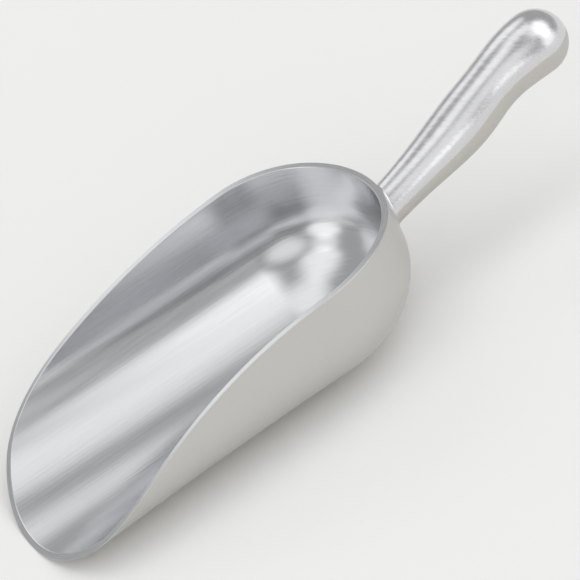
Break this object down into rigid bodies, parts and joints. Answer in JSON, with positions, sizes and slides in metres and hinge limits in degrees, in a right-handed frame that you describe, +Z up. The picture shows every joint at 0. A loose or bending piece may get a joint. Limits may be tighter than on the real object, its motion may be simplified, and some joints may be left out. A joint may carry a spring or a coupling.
{
  "type": "ice scoop",
  "caption": "Cast aluminium ice scoop with a deep round-backed trough, one sweeping rim arc and a solid contoured grip rising from its back.",
  "frame": {"origin": "middle of the bounding box in plan, at the height of the trough's straight bottom line", "axes": "+X from the nose of the lip towards the end of the grip, +Y to the left of someone holding it, +Z up out of the open trough"},
  "size_m": [0.292, 0.108, 0.0829],
  "materials": {
    "bowl_metal": "polished inside, satin outside",
    "handle_metal": "buffed above the parting line, duller below",
    "mark_metal": "as cast, lightly buffed on its high edges"
  },
  "bodies": {
    "root": {"bowl": "bowl_metal", "handle": "handle_metal", "capacity_mark": "mark_metal"}
  },
  "joints": []
}
